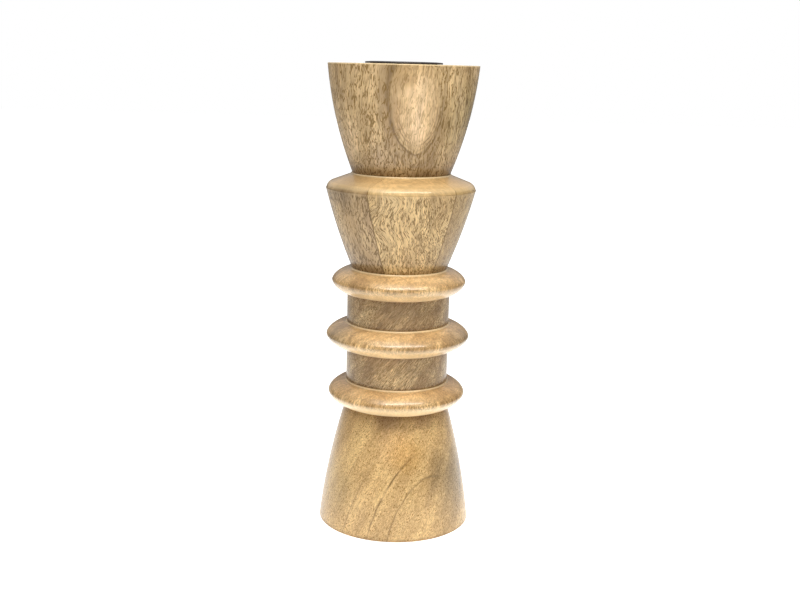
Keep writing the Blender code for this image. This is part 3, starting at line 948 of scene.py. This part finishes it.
bowl_wood = mango(
    "mango_bowl", lean=(0.152, -0.171), pith=(-12.4, 61.9), level=268.7, seed=(3.0, 7.0, 0.0),
    sway=0.1, slope=-0.15, calm=(BOWL_U, 0.62), line_wave=0.14,
    pale=(0.785, 0.575, 0.34), middle=(0.665, 0.475, 0.25), brown=(0.47, 0.32, 0.165),
    pore=(0.20, 0.115, 0.03), tone_spread=0.15, stroke_depth=0.9, streak=0.2, streak_scale=0.3,
    specular=0.2, coat=0.5, burnish_strength=0.25, burnish_fill=0.1,
    # Painted shade at the bowl's foot, and a painted highlight along the rim's arris.
    corners=[(BOWL_FOOT, 9.0, 0.7)], worn=[(RIM, 0.9, 0.6)],
    sapwood=(104.2, 0.9, (1.13, 1.135, 1.2)),
    stains=[
        ((-13.0, -38.0, 246.0), 15.0, (0.82, 0.82, 0.88), 0.9),
        ((0.0, -48.0, 305.0), 20.0, (0.74, 0.70, 0.61), 0.9),
        # This stain darkens the bowl's right side.
        ((46.0, -18.0, 272.0), 34.0, (0.62, 0.62, 0.455), 0.9),
        ((5.0, -46.0, 267.0), 15.0, (1.12, 1.13, 1.18), 0.9),
        ((4.0, -48.0, 293.0), 7.0, (0.84, 0.80, 0.74), 0.9),
    ],
    lines=[
        (104.1, 4.0, 0.3, 0.45, GREY_BROWN, (-9.0, -43.0, 272.0), 38.0),
        (104.2, 0.7, 0.5, 0.62, DARK_LINE, (-8.0, -44.0, 282.0), 25.0),
        (BOWL_U, 0.2, 0.15, 0.8, DARK_LINE, (4.0, -38.0, 252.0), 26.0),
        (BOWL_U, 0.15, 0.12, 0.5, DARK_LINE, (14.0, -42.0, 270.0), 22.0),
        (103.0, 0.3, 0.3, 0.4, DARK_LINE, (2.0, -38.0, 255.0), 30.0),
        (102.0, 0.25, 0.25, 0.4, DARK_LINE, (2.0, -38.0, 255.0), 36.0),
        (104.45, 0.1, 0.1, 0.8, DARK_LINE, (13.0, -42.0, 266.0), 18.0),
        (104.75, 0.1, 0.1, 0.8, DARK_LINE, (11.0, -43.0, 268.0), 16.0),
        (105.0, 0.1, 0.1, 0.6, DARK_LINE, (9.0, -44.0, 270.0), 14.0),
    ],
)
base_wood = mango(
    "mango_base", lean=(-0.04, 0.091), pith=(-9.6, 14.3), level=40.7, seed=(31.0, 5.0, 9.0),
    sway=0.1, slope=0.35,
    pore_stretch=0.5, pore_spacing=0.9, pore_size=0.27, pore_depth=1.0, pore_chance=0.42,
    stroke_scale=1.8, stroke_stretch=0.4, stroke_width=0.05, stroke_depth=0.6, tone_scale=0.07,
    streak=0.24, streak_scale=1.6, streak_stretch=0.4, specular=0.2,
    pale=(0.76, 0.53, 0.245), middle=(0.635, 0.425, 0.195), brown=(0.46, 0.305, 0.14),
    # Painted shade under the lowest bead on the base's top, and a painted contact shadow at the foot.
    pore=(0.19, 0.10, 0.02), corners=[(80.5, 6.0, 0.6), (0.5, 2.5, 0.6)],
    stains=[
        ((8.8, -42.0, 56.0), 17.0, (1.0, 0.94, 0.76), 0.8),
        # This stain darkens the base's right side.
        ((46.0, -22.0, 38.0), 38.0, (0.53, 0.55, 0.59), 0.95),
        ((-40.0, -28.0, 30.0), 26.0, (0.94, 0.97, 0.92), 0.8),
        # Painted shadow of the lowest bead on the base's top.
        ((-6.0, -36.0, 80.0), 12.0, (0.72, 0.68, 0.72), 0.9),
        ((2.0, -42.0, 61.0), 17.0, (1.22, 1.2, 1.26), 0.85),
        # Painted shadow of the lowest bead on the base's top.
        ((18.0, -32.0, 79.0), 10.0, (0.74, 0.70, 0.74), 0.8),
    ],
    lines=[
        (59.2, 0.22, 0.17, 1.0, DARK_LINE, (0.0, -46.0, 20.0), 42.0),
        (61.4, 0.16, 0.12, 0.65, DARK_LINE, (-8.0, -44.0, 34.0), 46.0),
        (55.1, 0.25, 0.2, 0.5, DARK_LINE, (0.0, -46.0, 10.0), 44.0),
        (51.5, 0.25, 0.2, 0.5, DARK_LINE, (0.0, -46.0, 20.0), 50.0),
    ],
)
neck_wood = mango(
    "mango_neck", lean=(0.4, 0.05), pith=(10.0, 40.0), level=120.0, seed=(50.0, 20.0, 0.0),
    slope=0.3, tone_scale=0.09, tone_spread=0.11,
    pore_spacing=0.9, pore_stretch=0.3, pore_chance=0.55,
    stroke_scale=1.3, stroke_depth=0.9, stroke_level=0.6,
    streak=0.34, streak_scale=1.1, streak_stretch=0.15,
    pale=(0.68, 0.50, 0.26), middle=(0.495, 0.335, 0.16), brown=(0.31, 0.19, 0.085),
    stains=[((-4.0, -34.0, 108.0), 16.0, (1.32, 1.32, 1.27), 0.9)],
    # Painted shade at both ends of each collar, under and over the beads.
    corners=[corner for foot, top in COLLARS for corner in ((foot, 3.0, 0.4), (top, 4.0, 0.4))],
)
ring_wood = mango(
    "mango_ring", lean=(0.05, 0.05), pith=(-30.0, 60.0), level=120.0, seed=(80.0, 4.0, 2.0),
    tone_scale=0.06, tone_spread=0.1, band_strength=0.75, ring_width=4.0, burnish_strength=0.4,
    streak=0.26, pore_depth=0.8, pore_spacing=0.8, stroke_depth=0.7,
    coat=0.8, coat_rough=0.2, specular=0.5,
    pale=(0.86, 0.595, 0.295), middle=(0.72, 0.465, 0.205), brown=(0.44, 0.265, 0.11),
    late=(0.46, 0.28, 0.115), burnish=(0.78, 0.505, 0.255),
    stains=[
        ((-40.0, -24.0, 128.0), 21.0, (0.68, 0.74, 0.88), 0.9),
        ((42.0, -22.0, 128.0), 20.0, (0.74, 0.79, 0.92), 0.9),
        ((-30.0, -32.0, 168.0), 14.0, (0.82, 0.81, 0.82), 0.9),
        ((-34.0, -30.0, 92.0), 16.0, (0.86, 0.86, 0.90), 0.9),
    ],
    # Painted highlights along the seat edges on the beads' tops, and painted floor reflection on the beads'
    # lower halves.
    worn=[(level, 1.1, 0.7) for level in BEAD_TOPS]
    + [(82.5, 7.0, 0.45), (121.0, 7.0, 0.3), (157.5, 7.0, 0.25)],
)

# The cone's boards share painted highlights at the bowl's seat and along the shoulder's arris, a polished and
# golden shoulder, and their seams.
SHOULDER = {
    # Painted highlights at the bowl's seat edge and along the shoulder's arris.
    "worn": [(BOWL_FOOT, 1.1, 0.7), (228.6, 3.0, 0.2)],
    "polished": [(228.4, 6.0, 0.8)],
    "burnish": (0.61, 0.39, 0.17),
}
FIRST_SEAM = (GLUE_TURN @ Vector((1, 0, 0)), GLUE_OFFSET)
SECOND_SEAM = (GLUE_TURN @ Vector((0, 1, 0)), -CROSS_GLUE_OFFSET)
board_back = mango(
    "mango_board_back", seed=(11.0, 90.0, 0.0), lean=(-0.15, -0.12), coat=0.75, specular=0.2,
    tone_spread=0.13, pore_depth=1.0, stroke_width=0.075, stroke_depth=1.0,
    stains=[
        ((-38.0, -32.0, 230.0), 21.0, (0.64, 0.645, 0.68), 0.9),
        ((-15.0, -42.0, 207.0), 17.0, (0.86, 0.83, 0.84), 0.9),
        ((-40.0, -22.0, 203.0), 22.0, (1.32, 1.34, 1.32), 0.9),
    ],
    pale=(0.66, 0.475, 0.255), middle=(0.52, 0.36, 0.185), brown=(0.37, 0.245, 0.12),
    # Painted shade at the cone's foot.
    pore=(0.17, 0.10, 0.03), corners=[(CONE_FOOT, 8.0, 0.6)], glue=[FIRST_SEAM], **SHOULDER,
)
board_front = mango(
    "mango_board_front", seed=(41.0, 10.0, 7.0), lean=(-0.1, -0.26), slope=-0.12, slope_change=0.3,
    ripple=1.3, ripple_scale=0.07, pore_spacing=0.8, pore_stretch=0.2, pore_size=0.26, pore_chance=0.5,
    stroke_scale=1.25, stroke_stretch=0.12, stroke_width=0.07, stroke_level=0.66, stroke_depth=0.95,
    streak=0.22, streak_scale=0.3, layer_depth=0.1, specular=0.2,
    pale=(0.79, 0.58, 0.305), middle=(0.71, 0.50, 0.24), brown=(0.52, 0.35, 0.165),
    # Painted shade at the cone's foot.
    corners=[(CONE_FOOT, 4.0, 0.35)], stains=[((2.0, -34.0, 181.0), 20.0, (1.24, 1.27, 1.31), 0.9)],
    glue=[FIRST_SEAM, SECOND_SEAM], **SHOULDER,
)
board_right = mango(
    "mango_board_right", seed=(1.0, 40.0, 17.0), lean=(0.1, -0.1), coat=0.75,
    pore_depth=0.9, pore_spacing=0.8, pore_chance=0.55, stroke_scale=1.0, stroke_depth=0.85,
    pale=(0.62, 0.43, 0.19), middle=(0.51, 0.345, 0.15), brown=(0.41, 0.265, 0.115),
    # Painted shade at the cone's foot.
    corners=[(CONE_FOOT, 8.0, 0.6)], glue=[FIRST_SEAM, SECOND_SEAM], **SHOULDER,
)
black = black_enamel()
plated = zinc()

make_base(base_wood)
make_ring("lower_ring", "lower_neck", COLLAR_RADIUS, BASE_TOP_RADIUS, ring_wood)
make_neck("lower_neck", "middle_ring", neck_wood)
make_ring("middle_ring", "upper_neck", COLLAR_RADIUS, COLLAR_RADIUS, ring_wood)
make_neck("upper_neck", "upper_ring", neck_wood)
make_ring("upper_ring", "cone_board_back", CONE_FOOT_RADIUS, COLLAR_RADIUS, ring_wood)
make_cone_board("cone_board_back", [((1, 0, 0), GLUE_OFFSET)], board_back)
make_cone_board(
    "cone_board_front", [((-1, 0, 0), -GLUE_OFFSET), ((0, 1, 0), -CROSS_GLUE_OFFSET)], board_front,
)
make_cone_board(
    "cone_board_right", [((-1, 0, 0), -GLUE_OFFSET), ((0, -1, 0), CROSS_GLUE_OFFSET)], board_right,
)
make_bowl(bowl_wood)
make_cup(black)
make_rod(plated)
for fitting in ("bottom", "top"):
    make_washer(fitting + "_washer", plated)
    make_nut(fitting + "_nut", plated)
make_felt(felt())
make_studio()
